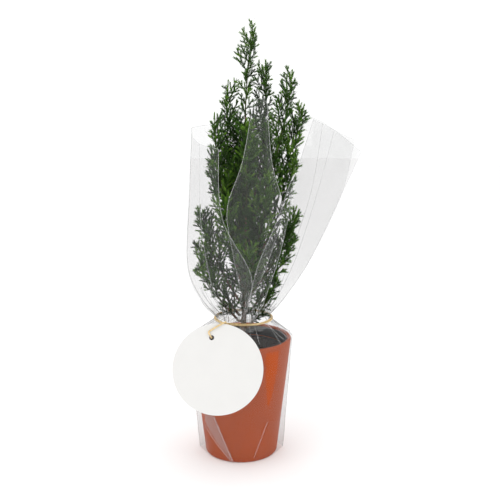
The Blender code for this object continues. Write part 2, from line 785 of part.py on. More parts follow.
def main():
    clear_scene()
    collection = new_collection(COLLECTION_NAME)
    bark = new_material("bark", (0.16, 0.09, 0.055), 0.85)
    leaf = new_material("foliage", (0.035, 0.10, 0.02), 0.6)
    film = new_material("film", (0.92, 0.93, 0.93), 0.1, alpha=0.2)
    raffia = new_material("raffia", (0.62, 0.44, 0.20), 0.7)
    card = new_material("tag_card", (0.91, 0.90, 0.88), 0.6)

    make_pot(collection)
    make_soil(collection)
    limbs = [Limb(name, tip, order) for order, (name, tip) in enumerate(FOLIAGE_TIPS.items())]
    wood = [make_trunk(collection, bark)] + [make_bough(limb, collection, bark) for limb in limbs]
    wrap = [
        make_film_back(collection, film),
        make_film_left(collection, film),
        make_film_strip(collection, film),
        make_film_wing(collection, film),
        make_film_veil(collection, film),
        make_film_shoulder(collection, film),
    ]
    make_film_sleeve(collection, film)
    make_tie(collection, raffia)
    make_string(collection, raffia)
    make_tag(collection, card)
    obstacles = [evaluated_tree(thing) for thing in wood + wrap]
    make_foliage([LeaderLimb("leader", LEADER_TIP)] + limbs, obstacles, collection, leaf)


main()
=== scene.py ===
"""Looks of the potted conifer in its clear gift wrap.

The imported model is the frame. The plant's limbs are worked out by the rule that its solids
follow, and are carried on to fine twigs and needles. Metres, +Z up, the front towards -Y.
"""
import math
import random

import bmesh
import bpy
import numpy as np
from bpy.props import FloatProperty, FloatVectorProperty, IntProperty, PointerProperty
from mathutils import Matrix, Vector, noise


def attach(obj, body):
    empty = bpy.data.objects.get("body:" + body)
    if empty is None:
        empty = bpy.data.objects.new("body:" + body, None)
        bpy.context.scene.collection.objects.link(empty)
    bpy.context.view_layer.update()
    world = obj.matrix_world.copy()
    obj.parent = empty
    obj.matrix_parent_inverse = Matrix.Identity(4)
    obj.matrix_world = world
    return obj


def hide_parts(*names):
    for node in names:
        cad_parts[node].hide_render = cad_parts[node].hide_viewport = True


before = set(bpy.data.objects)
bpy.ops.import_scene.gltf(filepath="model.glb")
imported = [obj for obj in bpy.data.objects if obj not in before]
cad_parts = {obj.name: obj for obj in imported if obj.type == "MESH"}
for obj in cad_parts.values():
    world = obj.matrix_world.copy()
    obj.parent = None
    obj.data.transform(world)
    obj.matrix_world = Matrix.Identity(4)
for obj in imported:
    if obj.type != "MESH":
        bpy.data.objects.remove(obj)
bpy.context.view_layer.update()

bl_info = {
    "name": "Potted Conifer",
    "version": (1, 0, 0),
    "blender": (4, 5, 0),
    "location": "View3D > Sidebar > Conifer",
    "description": "Builds the looks of a small conifer in a pot and a clear gift wrap",
    "category": "Object",
}

BODY = "root"
TURN = 2 * math.pi

# Pot and soil, as in the solids
POT_HEIGHT = 0.113
POT_RIM_RADIUS = 0.0475
POT_BASE_RADIUS = 0.0347
POT_WALL = 0.0036
POT_FLOOR = 0.005
SOIL_EDGE_HEIGHT = 0.1015
SOIL_TOP_HEIGHT = 0.1045

# The rule of the limbs, as in the solids, with finer shoots that keep closer to their limb
TRUNK_TOP = Vector((0.0046, 0.0, 0.318))
TRUNK_FOOT = Vector((0.001, 0.0, 0.1048))
TRUNK_SWAY = 0.0018
TRUNK_RADIUS = 0.0027
TRUNK_TOP_RADIUS = 0.0008
ROOT_FLARE = 1.7
FLARE_HEIGHT = 0.006
BOUGH_RADIUS = 0.0013
BOUGH_END_RADIUS = 0.0008
BOUGH_SHARE = 0.28
BOUGH_FOOT_OUT = 0.0021
BOUGH_FOOT_RISE = 0.0005
BOUGH_GAP = 0.0003
LOWEST_BOUGH = 0.121
LOW_TIP = 0.19
BOUGH_RISE = 0.52
BOUGH_STAGGER = 0.0021
BOUGH_BOW = 0.1
STEM_END = 0.9
SHOOT_LENGTH = 0.036
SHOOT_TO_LIMB = 0.45
SHOOT_TAPER = 0.66
SHOOT_CROWDING = 0.85
SHOOT_FIRST = 0.7
SHOOT_BEYOND = 0.0005
NARROW_FOOT = 0.18
SHOOT_ANGLE = math.radians(40)
SHOOT_ROLL = math.radians(42)
GOLDEN_TURN = math.radians(137.5)
BOUGH_SHOOTS = 5
TRUNK_SHOOTS = 64
TRUNK_SHOOTS_FROM = 0.146
TRUNK_SHOOTS_TO = 0.305

# Tip of each plume, seen from the front: (across, depth, height)
FOLIAGE_TIPS = {
    "crest": (0.0222, 0.012, 0.376),
    "right_top": (0.0465, -0.004, 0.366),
    "left_top": (-0.0108, 0.009, 0.357),
    "right_shoulder": (0.0592, 0.01, 0.335),
    "left_shoulder": (-0.0232, -0.008, 0.327),
    "right_side": (0.053, 0.004, 0.29),
    "left_side": (-0.027, 0.006, 0.29),
    "right_waist": (0.0545, -0.008, 0.238),
    "left_waist": (-0.0392, -0.006, 0.238),
    "right_skirt": (0.052, 0.012, 0.212),
    "left_skirt": (-0.042, 0.008, 0.204),
    "left_foot": (-0.0405, -0.012, 0.188),
    "right_foot": (0.035, -0.006, 0.172),
    "front_top": (0.006, -0.028, 0.322),
    "front_middle": (0.026, -0.036, 0.272),
    "front_left": (-0.013, -0.037, 0.252),
    "front_foot": (0.006, -0.04, 0.206),
    "back_top": (0.026, 0.034, 0.318),
    "back_middle": (-0.008, 0.038, 0.276),
    "back_foot": (0.02, 0.041, 0.214),
}
LEADER_TIP = Vector((0.0134, 0.0, 0.398))

# Wrap, tie and tag, placed as in the solids, with a thinner film
FILM_THICKNESS = 0.00012
FILM_GLOSS = 0.014
NECK_CENTRE = Vector((0.0023, 0.0, 0.131))
NECK_RADIUS = 0.024
NECK_RISE = 0.0006
LAYER_INSET = 0.0016
FIN_FOOT = 0.0405
FIN_TOP = 0.0487
GATHER_FOOT = 0.1255
GATHER_TOP = 0.139
CLING_FOOT = 0.053
CLING_TOP = 0.108
CLING_ANGLE = 308.0
CLING_WIDTH = 9.0
TIE_RADIUS = 0.0013
TIE_CLEAR = 0.0015
KNOT_ANGLE = math.radians(237)
KNOT_SIZE = Vector((0.0034, 0.0024, 0.0022))
STRING_RADIUS = 0.0006
TAG_RADIUS = 0.04
TAG_THICKNESS = 0.0008
TAG_ROUND = 0.0001
TAG_CENTRE = Vector((-0.0197, -0.0572, 0.0995))
TAG_LEAN = math.radians(20)
TAG_TURN = math.radians(2.6)
TAG_HOLE_RADIUS = 0.0022
TAG_HOLE_INSET = 0.012
TAG_HOLE_ANGLE = math.radians(101)
STRING_PATH = (
    (0.0125, 0.0136, 0.0),
    (0.0075, 0.0112, 0.0018),
    (0.0017, 0.0078, 0.0018),
    (-0.0024, 0.005, 0.0015),
    (-0.001, 0.0014, 0.0014),
    (0.0, 0.0, -0.001),
)

# Finer parts, which only the looks have
PER_METRE = 1000
POT_ROUND = 0.0016
SOIL_CLEAR = 0.0006
RELIEF_DEPTH = 0.0004
CRUMBS = 260
CRUMB_SIZES = (0.0006, 0.0018)
BARK_STEPS = 90
TRUNK_SIDES = 14
BOUGH_SIDES = 8
STEM_RADII = (0.0009, 0.0003)
SHOOT_RADII = (0.00042, 0.00016)
TWIG_RADII = (0.00024, 0.00012)
BOUGH_SHOOT_LENGTHS = (0.008, 0.014)
TRUNK_SHOOT_LENGTHS = (0.02, 0.032)
TIP_FROM = 0.62
TIP_SPAN = 0.33
CUT_BACK = 0.85
NEEDLE_LEANS = (0.42, 0.8)
AWN_LEANS = (0.55, 0.95)
AWN_CHANCE = 0.12
AWN_SLIMNESS = 0.4
FILM_CLEAR = 0.945
DULL_CLEAR = 0.93
GATHER_HAZE = 0.07
FOLD_HAZE = 0.1
SNUG_GLOSS = 0.004
GATHER_WAVES = 9
GATHER_DEPTH = 0.0007
GATHER_FADE = 9
# Milky strands along the film's folds and edges: painted highlights
CREASE_RADIUS = 0.00022
CREASE_LIFT = 0.0004
SHOULDER_HIGHLIGHT_STRANDS = 54
PLEATS = 23
RING_STRANDS = 7

# Stage
WORLD_STRENGTH = 1.12
FLOOR_COLOUR = (0.93, 0.925, 0.925, 1.0)
LIGHTS = (
    ("key", (-0.55, -0.65, 0.95), 0.45, 2.2),
    ("fill", (0.75, -0.45, 0.6), 0.5, 0.7),
    ("top", (0.05, 0.25, 1.1), 0.5, 1.0),
)
LIGHT_AIM = Vector((0.01, 0.0, 0.2))
CAMERA_PLACE = (0.00847, -0.66347, 0.31218)
CAMERA_TILT = math.radians(90 - 9.953)
CAMERA_LENS = 51.909


def length_setting(name, description, default):
    """A setting in metres."""
    return FloatProperty(name=name, description=description, default=default, unit="LENGTH")


def colour_setting(name, description, default):
    """A plain colour that can be changed."""
    return FloatVectorProperty(name=name, description=description, default=default, subtype="COLOR")


class PlantSettings(bpy.types.PropertyGroup):
    """Sizes and colours of the foliage."""

    needle_length: length_setting("Needle length", "Length of a green needle", 0.003)
    needle_width: length_setting("Needle width", "Greatest width of a green needle", 0.00088)
    needle_spacing: length_setting("Needle spacing", "Step between pairs of needles", 0.00068)
    shoot_spacing: length_setting("Shoot spacing", "Step between side shoots on a stem", 0.0033)
    twig_spacing: length_setting("Twig spacing", "Step between twigs on a shoot", 0.0027)
    awn_length: length_setting("Long needle length", "Length of a long thin needle", 0.0085)
    # The deep green of needles inside the crown is painted shade.
    deep: colour_setting("Deep green", "Needles deep in the plant", (0.012, 0.036, 0.005))
    middle: colour_setting("Middle green", "Most needles", (0.036, 0.088, 0.016))
    # The fresh and bright greens of outer ends and tips are partly young growth and partly painted light
    # shining through the needles.
    fresh: colour_setting("Fresh green", "Needles of young twigs", (0.064, 0.155, 0.02))
    bright: colour_setting("Bright green", "Needles at the tips", (0.13, 0.26, 0.028))
    awn: colour_setting("Long needle colour", "Thin straight needles", (0.045, 0.036, 0.034))
    twig: colour_setting("Twig colour", "Young bark of the twigs", (0.055, 0.07, 0.02))
    bark: colour_setting("Bark colour", "Bark of the trunk and boughs", (0.13, 0.075, 0.048))


class WrapSettings(bpy.types.PropertyGroup):
    """Sizes and colours of the pot, the film, the tie and the tag."""

    clay: colour_setting("Pot colour", "Body colour of the pot", (0.42, 0.068, 0.008))
    soil: colour_setting("Soil colour", "Moist peat", (0.022, 0.015, 0.011))
    haze: FloatProperty(
        name="Film haze", description="How milky one face of the film is", default=0.009, min=0.0, max=1.0)
    # Haze of the milky strands that paint the highlights of the film's folds and edges
    fold_highlight_haze: FloatProperty(
        name="Crease haze", description="How milky a fold or edge of the film is", default=0.24,
        min=0.0, max=1.0)
    crinkle: length_setting("Crinkle", "Depth of the film's soft dents", 0.0009)
    raffia: colour_setting("Raffia colour", "Dry raffia", (0.72, 0.54, 0.28))
    card: colour_setting("Card colour", "Face of the tag", (0.705, 0.7, 0.685))
    pot_sides: IntProperty(
        name="Pot sides", description="Steps round the pot", default=128, min=16, max=256)


def shader_material(name):
    """A new material, with its nodes, its links and its shader."""
    material = bpy.data.materials.new(name)
    material.use_nodes = True
    nodes = material.node_tree.nodes
    return material, nodes, material.node_tree.links, nodes["Principled BSDF"]


def set_inputs(node, **values):
    """Set inputs of a node by name, with _ for a space."""
    for name, value in values.items():
        node.inputs[name.replace("_", " ")].default_value = value


def noise_node(nodes, links, scale, detail, stretch=(1.0, 1.0, 1.0)):
    """Noise in the object's own coordinates, stretched by a mapping."""
    place = nodes.new("ShaderNodeTexCoord")
    mapping = nodes.new("ShaderNodeMapping")
    set_inputs(mapping, Scale=stretch)
    texture = nodes.new("ShaderNodeTexNoise")
    set_inputs(texture, Scale=scale, Detail=detail)
    links.new(place.outputs["Object"], mapping.inputs["Vector"])
    links.new(mapping.outputs["Vector"], texture.inputs["Vector"])
    return texture.outputs["Fac"]


def ramp(nodes, links, source, low, high, start=0.3, end=0.7):
    """Two colours or greys blended by a value."""
    node = nodes.new("ShaderNodeValToRGB")
    node.color_ramp.elements[0].position = start
    node.color_ramp.elements[1].position = end
    node.color_ramp.elements[0].color = (*low, 1.0)
    node.color_ramp.elements[1].color = (*high, 1.0)
    links.new(source, node.inputs["Fac"])
    return node.outputs["Color"]


def mottled(name, colour, spread, roughness, specular, scale, bump, bump_scale, stretch=(1.0, 1.0, 1.0)):
    """A matt or satin finish with soft changes of tone and a fine relief."""
    material, nodes, links, shader = shader_material(name)
    tone = noise_node(nodes, links, scale, 4.0, stretch)
    low = [part * (1.0 - spread) for part in colour]
    high = [min(part * (1.0 + spread), 1.0) for part in colour]
    links.new(ramp(nodes, links, tone, low, high), shader.inputs["Base Color"])
    dull = [min(roughness + 0.12, 1.0)] * 3
    sleek = [max(roughness - 0.1, 0.05)] * 3
    links.new(ramp(nodes, links, tone, sleek, dull), shader.inputs["Roughness"])
    set_inputs(shader, Specular_IOR_Level=specular)
    if bump > 0.0:
        relief = nodes.new("ShaderNodeBump")
        set_inputs(relief, Strength=bump, Distance=RELIEF_DEPTH)
        grain = noise_node(nodes, links, bump_scale, 6.0, stretch)
        links.new(grain, relief.inputs["Height"])
        links.new(relief.outputs["Normal"], shader.inputs["Normal"])
    return material


def film_material(name, haze, clear, roughness, gloss=FILM_GLOSS):
    """Clear film: mostly see-through, a little milky, with the gloss of a thin plastic."""
    material, nodes, links, shader = shader_material(name)
    nodes.remove(shader)
    see = nodes.new("ShaderNodeBsdfTransparent")
    milk = nodes.new("ShaderNodeBsdfDiffuse")
    shine = nodes.new("ShaderNodeBsdfGlossy")
    set_inputs(see, Color=(clear, clear, clear, 1.0))
    set_inputs(milk, Color=(0.82, 0.83, 0.83, 1.0))
    set_inputs(shine, Color=(0.9, 0.9, 0.9, 1.0), Roughness=roughness)
    under = see.outputs["BSDF"]
    for over, share in ((milk, haze), (shine, gloss)):
        mix = nodes.new("ShaderNodeMixShader")
        set_inputs(mix, Fac=share)
        links.new(under, mix.inputs[1])
        links.new(over.outputs["BSDF"], mix.inputs[2])
        under = mix.outputs["Shader"]
    links.new(under, nodes["Material Output"].inputs["Surface"])
    return material


def add_piece(name, mesh, materials, nodes=()):
    """Put a finished mesh in the scene as a piece of the object."""
    thing = bpy.data.objects.new(name, mesh)
    bpy.context.scene.collection.objects.link(thing)
    for material in materials:
        mesh.materials.append(material)
    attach(thing, BODY)
    if nodes:
        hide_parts(*nodes)
    return thing


def mesh_from(bm, name, smooth=True):
    bmesh.ops.recalc_face_normals(bm, faces=bm.faces[:])
    for face in bm.faces:
        face.smooth = smooth
    mesh = bpy.data.meshes.new(name)
    bm.to_mesh(mesh)
    bm.free()
    return mesh


def spun(name, profile, sides):
    """Spin a closed profile of (radius, height) points round the Z axis."""
    bm = bmesh.new()
    corners = [bm.verts.new((radius, 0.0, height)) for radius, height in profile]
    edges = [bm.edges.new(pair) for pair in zip(corners, corners[1:])]
    bmesh.ops.spin(bm, geom=corners + edges, cent=(0, 0, 0), axis=(0, 0, 1), angle=TURN,
                   steps=sides, use_merge=True)
    bmesh.ops.remove_doubles(bm, verts=bm.verts[:], dist=0.00001)
    return mesh_from(bm, name)


def curve_mesh(name, lines, radius):
    """A mesh of round strands along smooth lines."""
    curve = bpy.data.curves.new(name, "CURVE")
    curve.dimensions = "3D"
    curve.bevel_depth = radius
    curve.bevel_resolution = 2
    curve.use_fill_caps = True
    for line in lines:
        spline = curve.splines.new("POLY")
        spline.points.add(len(line) - 1)
        for knot, point in zip(spline.points, line):
            knot.co = (*point, 1.0)
    thing = bpy.data.objects.new(name, curve)
    mesh = bpy.data.meshes.new_from_object(thing)
    bpy.data.objects.remove(thing, do_unlink=True)
    bpy.data.curves.remove(curve)
    mesh.shade_smooth()
    return mesh


def smooth_value(values, share):
    """A value on the smooth line through evenly spaced values, at a share from 0 to 1."""
    place = share * (len(values) - 1)
    i = min(int(place), len(values) - 2)
    t = place - i
    before = values[max(i - 1, 0)]
    after = values[min(i + 2, len(values) - 1)]
    a, b = values[i], values[i + 1]
    return (a * 2 + (b - before) * t + (before * 2 - a * 5 + b * 4 - after) * t * t
            + (a * 3 - before - b * 3 + after) * t * t * t) / 2


def around(angle, radius, height=0.0):
    """A point round the Z axis."""
    return Vector((math.cos(angle) * radius, math.sin(angle) * radius, height))


def pot_radius(z):
    return POT_BASE_RADIUS + (POT_RIM_RADIUS - POT_BASE_RADIUS) * z / POT_HEIGHT


class CONIFER_OT_pot(bpy.types.Operator):
    """Make the smooth tapered pot with its rounded rim"""

    bl_idname = "conifer.pot"
    bl_label = "Pot"

    def execute(self, context):
        wrap = context.scene.conifer_wrap
        inner = POT_RIM_RADIUS - POT_WALL
        middle = (POT_RIM_RADIUS + inner) / 2
        lip = POT_WALL / 2
        top = [(middle + lip * math.cos(a), POT_HEIGHT - lip + lip * math.sin(a))
               for a in [math.pi * i / 8 for i in range(9)]]
        foot = [(POT_BASE_RADIUS + POT_ROUND * (math.cos(a) - 1.0), POT_ROUND * (math.sin(a) + 1.0))
                for a in [-math.pi / 2 + math.pi / 2 * i / 4 for i in range(5)]]
        inside = [(pot_radius(POT_FLOOR) - POT_WALL, POT_FLOOR), (0.0, POT_FLOOR)]
        profile = [(0.0, 0.0)] + foot + top + inside
        clay = mottled("pot_clay", wrap.clay, 0.05, 0.42, 0.14, 38.0, 0.12, 420.0)
        add_piece("pot_body", spun("pot_body", profile, wrap.pot_sides), [clay], ["pot"])
        return {"FINISHED"}


class CONIFER_OT_soil(bpy.types.Operator):
    """Make the crumbly soil in the pot"""

    bl_idname = "conifer.soil"
    bl_label = "Soil"

    def execute(self, context):
        dice = random.Random(7)
        edge = pot_radius(SOIL_EDGE_HEIGHT) - POT_WALL - SOIL_CLEAR
        foot = pot_radius(POT_FLOOR) - POT_WALL - SOIL_CLEAR
        profile = [(0.0, POT_FLOOR + 0.0003), (foot, POT_FLOOR + 0.0003), (edge, SOIL_EDGE_HEIGHT - 0.001)]
        profile += [(edge * (1 - i / 24), SOIL_EDGE_HEIGHT + (SOIL_TOP_HEIGHT - SOIL_EDGE_HEIGHT) * i / 24)
                    for i in range(25)]
        mesh = spun("soil_bed", profile, 72)
        bm = bmesh.new()
        bm.from_mesh(mesh)
        for vertex in bm.verts:
            if vertex.co.z > SOIL_EDGE_HEIGHT - 0.0005 and vertex.co.xy.length < edge * 0.97:
                vertex.co.z += 0.0011 * noise.noise(vertex.co * 320) + 0.0009 * noise.noise(vertex.co * 900)
        for _ in range(CRUMBS):
            reach = edge * math.sqrt(dice.uniform(0.02, 0.84))
            angle = dice.uniform(0.0, TURN)
            height = SOIL_TOP_HEIGHT - (SOIL_TOP_HEIGHT - SOIL_EDGE_HEIGHT) * reach / edge
            size = dice.uniform(*CRUMB_SIZES)
            place = Matrix.Translation(around(angle, reach, height))
            shape = Matrix.Diagonal((size, size * dice.uniform(0.6, 1.0), size * 0.6, 1.0))
            turn = Matrix.Rotation(dice.uniform(0.0, math.pi), 4, "Z")
            bmesh.ops.create_icosphere(bm, subdivisions=1, radius=1.0, matrix=place @ turn @ shape)
        bm.to_mesh(mesh)
        bm.free()
        peat = mottled("peat", context.scene.conifer_wrap.soil, 0.5, 0.9, 0.2, 260.0, 0.9, 900.0)
        add_piece("soil_bed", mesh, [peat], ["soil"])
        inner = POT_RIM_RADIUS - POT_WALL - 0.0005
        liner = [(inner - 0.0011, SOIL_EDGE_HEIGHT + 0.001), (inner, POT_HEIGHT - 0.0022),
                 (inner - 0.0005, POT_HEIGHT - 0.0018), (inner - 0.0009, POT_HEIGHT - 0.0022),
                 (inner - 0.002, SOIL_EDGE_HEIGHT + 0.001), (inner - 0.0011, SOIL_EDGE_HEIGHT + 0.001)]
        dark = mottled("liner_plastic", (0.022, 0.022, 0.022), 0.2, 0.35, 0.5, 60.0, 0.1, 300.0)
        add_piece("pot_liner", spun("pot_liner", liner, 96), [dark])
        return {"FINISHED"}


def trunk_point(z):
    """Middle of the trunk at a height: a slight lean with one slow sway."""
    share = (z - TRUNK_FOOT.z) / (TRUNK_TOP.z - TRUNK_FOOT.z)
    point = TRUNK_FOOT.lerp(TRUNK_TOP, share)
    point.x += TRUNK_SWAY * math.sin(TURN * share)
    point.y += TRUNK_SWAY * math.sin(3 * math.pi * share) / 2
    return point


def trunk_radius(z):
    share = (z - TRUNK_FOOT.z) / (TRUNK_TOP.z - TRUNK_FOOT.z)
    return TRUNK_RADIUS + (TRUNK_TOP_RADIUS - TRUNK_RADIUS) * share


class Limb:
    """The line of one bough and of the plume that it carries, from the trunk to the tip."""

    first = BOUGH_SHARE

    def __init__(self, name, tip, order):
        self.name = name
        self.tip = Vector(tip)
        leave = LOWEST_BOUGH + BOUGH_RISE * max(self.tip.z - LOW_TIP, 0.0) + BOUGH_STAGGER * (order % 4)
        root = trunk_point(leave)
        out = Vector((self.tip.x - root.x, self.tip.y - root.y, 0.0)).normalized()
        self.foot = root + out * (trunk_radius(leave) + BOUGH_GAP)
        self.start = self.foot + out * BOUGH_FOOT_OUT + Vector((0.0, 0.0, BOUGH_FOOT_RISE))
        reach = self.tip - self.start
        self.bend = self.start + reach * 0.5 + out * BOUGH_BOW * reach.length
        self.length = reach.length

    def point(self, t):
        return self.start * (1 - t) ** 2 + self.bend * 2 * t * (1 - t) + self.tip * t * t

    def heading(self, t):
        way = (self.bend - self.start) * (1 - t) + (self.tip - self.bend) * t
        return way.normalized()


class LeaderLimb(Limb):
    """The trunk's own tip: its plume goes on from the top of the trunk."""

    first = 0.0

    def __init__(self, name, tip):
        self.name = name
        self.tip = Vector(tip)
        self.start = trunk_point(TRUNK_TOP.z)
        reach = self.tip - self.start
        self.bend = self.start + Vector((0.0, 0.0, reach.length / 2))
        self.length = reach.length


def all_limbs():
    limbs = [Limb(name, tip, order) for order, (name, tip) in enumerate(FOLIAGE_TIPS.items())]
    return [LeaderLimb("leader", LEADER_TIP)] + limbs


def frame_at(heading, roll):
    """Three directions: the heading, across it, and up from both, turned by roll."""
    across = heading.cross(Vector((0, 1, 0))).normalized()
    side = Matrix.Rotation(roll, 3, heading) @ across
    return heading, side, heading.cross(side)


def limb_tube(bm, line, radii, sides, relief):
    """Add a closed tapering tube with ridges of bark to a bmesh."""
    last = len(line) - 1
    ring = None
    for i, point in enumerate(line):
        heading = (line[min(i + 1, last)] - line[max(i - 1, 0)]).normalized()
        turn = heading.to_track_quat("Z", "Y").to_matrix().to_4x4()
        place = Matrix.Translation(point) @ turn
        fresh = bmesh.ops.create_circle(bm, segments=sides, radius=radii[i], matrix=place)["verts"]
        for vertex in fresh:
            rough = noise.noise(Vector((vertex.co.x * 900, vertex.co.y * 900, vertex.co.z * 260)))
            vertex.co += (vertex.co - point).normalized() * rough * relief * radii[i]
        loop = list(dict.fromkeys(edge for vertex in fresh for edge in vertex.link_edges))
        if ring is None or i == last:
            bmesh.ops.contextual_create(bm, geom=loop)
        if ring is not None:
            bmesh.ops.bridge_loops(bm, edges=ring + loop)
        ring = loop


class CONIFER_OT_wood(bpy.types.Operator):
    """Make the trunk and boughs with the relief of their bark"""

    bl_idname = "conifer.wood"
    bl_label = "Trunk and boughs"

    def execute(self, context):
        colour = context.scene.conifer_plant.bark
        bark = mottled("bark", colour, 0.45, 0.8, 0.25, 900.0, 0.8, 1400.0, (1.0, 1.0, 0.25))
        steps = BARK_STEPS
        heights = [TRUNK_FOOT.z + (TRUNK_TOP.z - TRUNK_FOOT.z) * i / steps for i in range(steps + 1)]
        line = [trunk_point(z) for z in heights]
        radii = [trunk_radius(z) for z in heights]
        for i, z in enumerate(heights):
            flare = max(1.0 - (z - TRUNK_FOOT.z) / FLARE_HEIGHT, 0.0)
            radii[i] *= 1.0 + (ROOT_FLARE - 1.0) * flare ** 1.6
        bm = bmesh.new()
        limb_tube(bm, line, radii, TRUNK_SIDES, 0.22)
        add_piece("trunk_bark", mesh_from(bm, "trunk_bark"), [bark], ["trunk"])
        bm = bmesh.new()
        limbs = all_limbs()[1:]
        for limb in limbs:
            count = 12
            line = [limb.foot] + [limb.point(BOUGH_SHARE * i / count) for i in range(count + 1)]
            span = BOUGH_END_RADIUS - BOUGH_RADIUS
            radii = [BOUGH_RADIUS + span * i / (count + 1) for i in range(count + 2)]
            limb_tube(bm, line, radii, BOUGH_SIDES, 0.2)
        names = ["bough_" + limb.name for limb in limbs]
        add_piece("bough_bark", mesh_from(bm, "bough_bark"), [bark], names)
        return {"FINISHED"}


def unit(vectors):
    """The vectors of an array, each made one long."""
    return vectors / np.linalg.norm(vectors, axis=1)[:, None]


class Growth:
    """Collects the twigs and needles of a group of plumes as arrays."""

    def __init__(self, settings, seed):
        self.settings = settings
        self.dice = random.Random(seed)
        self.numbers = np.random.default_rng(seed)
        self.needles = []
        self.awns = []
        self.twigs = []

    def add_twig(self, line, first, last):
        """Keep a twig's line and its radius at both ends."""
        self.twigs.append(([tuple(point) for point in line], first, last))

    def clothe(self, line, side, tone, length_factor):
        """Set needles in crossed pairs along a line of points."""
        settings = self.settings
        points = np.array([tuple(point) for point in line])
        steps = np.linalg.norm(np.diff(points, axis=0), axis=1)
        total = steps.sum()
        count = max(int(total / settings.needle_spacing), 3)
        share = (np.arange(count) + 0.5) / count
        place = np.interp(share * total, np.concatenate([[0.0], np.cumsum(steps)]), np.arange(len(points)))
        low = np.minimum(place.astype(int), len(points) - 2)
        base = points[low] + (points[low + 1] - points[low]) * (place - low)[:, None]
        along = unit(points[low + 1] - points[low])
        across = unit(np.cross(along, np.cross(np.array(side), along)))
        up = np.cross(along, across)
        for hand in (0.0, math.pi):
            turn = np.where(np.arange(count) % 2 == 0, 0.0, math.pi / 2) + hand
            turn = turn + self.numbers.uniform(-0.45, 0.45, count)
            out = across * np.cos(turn)[:, None] + up * np.sin(turn)[:, None]
            lean = self.numbers.uniform(*NEEDLE_LEANS, count) * (1.0 - 0.45 * share ** 3)
            way = along * np.cos(lean)[:, None] + out * np.sin(lean)[:, None]
            length = settings.needle_length * length_factor * self.numbers.uniform(0.75, 1.2, count)
            # The outer end of each line turns a tone lighter: partly young growth, partly painted light
            # shining through the needles.
            young_and_lit = (share > 0.62) & (self.numbers.uniform(0, 1, count) < 0.75)
            tones = np.minimum(tone + young_and_lit.astype(int), 3)
            self.needles.append((base, way, np.cross(way, out), length, tones))

    def add_awns(self, line, side, count):
        """Long thin straight needles that stand out in pairs."""
        for _ in range(count):
            i = self.dice.randrange(len(line) - 1)
            base = line[i].lerp(line[i + 1], self.dice.random())
            along = (line[i + 1] - line[i]).normalized()
            for hand in (-1, 1):
                out = Matrix.Rotation(self.dice.uniform(-0.9, 0.9), 3, along) @ side * hand
                lean = self.dice.uniform(*AWN_LEANS)
                way = (along * math.cos(lean) + out * math.sin(lean)).normalized()
                length = self.settings.awn_length * self.dice.uniform(0.6, 1.15)
                self.awns.append((base, way, way.cross(out).normalized(), length))

    def add_shoot(self, root, heading, length, roll, tone):
        """A side shoot: its axis, twigs to both sides, and the needles on all of them."""
        dice = self.dice
        heading, side, up = frame_at(heading, roll)
        lift = Vector((0, 0, 1)) * length * dice.uniform(0.04, 0.16)
        steps = 5
        line = [root + heading * length * i / steps + lift * (i / steps) ** 2 for i in range(steps + 1)]
        self.add_twig(line, *SHOOT_RADII)
        self.clothe(line, side, tone, 1.0)
        self.add_awns(line, side, 1)
        count = max(int(length / self.settings.twig_spacing), 2)
        for i in range(count):
            share = (i + 0.7) / (count + 0.6)
            place = smooth_value(line, share)
            hand = 1 if i % 2 else -1
            lean = dice.uniform(0.55, 0.85)
            tilt = dice.uniform(-0.5, 0.5)
            across = side * math.cos(tilt) + up * math.sin(tilt)
            way = heading * math.cos(lean) + across * math.sin(lean) * hand
            reach = (0.42 * length * (1.0 - share) + 0.0032) * dice.uniform(0.75, 1.2)
            rise = Vector((0, 0, 1)) * reach * 0.1
            twig = [place + way * reach * k / 3 + rise * (k / 3) ** 2 for k in range(4)]
            self.add_twig(twig, *TWIG_RADII)
            self.clothe(twig, up, min(tone + (dice.random() < 0.35), 3), 0.92)
            if dice.random() < AWN_CHANCE:
                self.add_awns(twig, side, 1)

    def grow(self, limb, seed):
        """One plume, by the rule of the solids, with more and finer side shoots."""
        dice = self.dice
        dice.seed(seed)
        turn = dice.uniform(0.0, TURN)
        span = STEM_END - limb.first
        stem = [limb.point(limb.first + span * i / 16) for i in range(17)]
        self.add_twig(stem, *STEM_RADII)
        reach = (limb.tip - trunk_point(TRUNK_TOP.z)).xy.length + SHOOT_BEYOND
        count = round(limb.length * span / self.settings.shoot_spacing)
        for index in range(count):
            share = ((index + 0.3) / count) ** SHOOT_CROWDING
            t = limb.first + (STEM_END - limb.first) * share
            along = limb.heading(t)
            full = min(SHOOT_LENGTH, SHOOT_TO_LIMB * limb.length) * (1.0 - SHOOT_TAPER * share)
            full *= min(1.0, SHOOT_FIRST + share)
            across = frame_at(along, turn + GOLDEN_TURN * index)[1]
            angle = SHOOT_ANGLE * dice.uniform(0.85, 1.1)
            heading = (along * math.cos(angle) + across * math.sin(angle)).normalized()
            full = min(full, (1.0 - t) * limb.length * 0.9 + 0.0035)
            length = self.fitted(limb, t, heading, full * dice.uniform(0.85, 1.1), reach)
            roll = SHOOT_ROLL * dice.uniform(0.6, 1.4) * (-1) ** index
            # Shoots nearer the foot of a plume are more often deep green: painted shade inside the crown.
            tone = 0 if dice.random() < 0.55 - 0.5 * share else 1
            # Shoots further out are more often fresh green: partly young growth, partly painted light
            # shining through the needles.
            if dice.random() < 0.1 + 0.25 * share:
                tone = 2
            self.add_shoot(limb.point(t), heading, length, roll, tone)
        # Each plume's tip takes the fresh and bright greens: partly young growth, partly painted light
        # shining through the needles.
        tip = [limb.point(TIP_FROM + TIP_SPAN * i / 8) for i in range(9)]
        self.clothe(tip, frame_at(limb.heading(0.8), turn)[1], 2, 1.0)

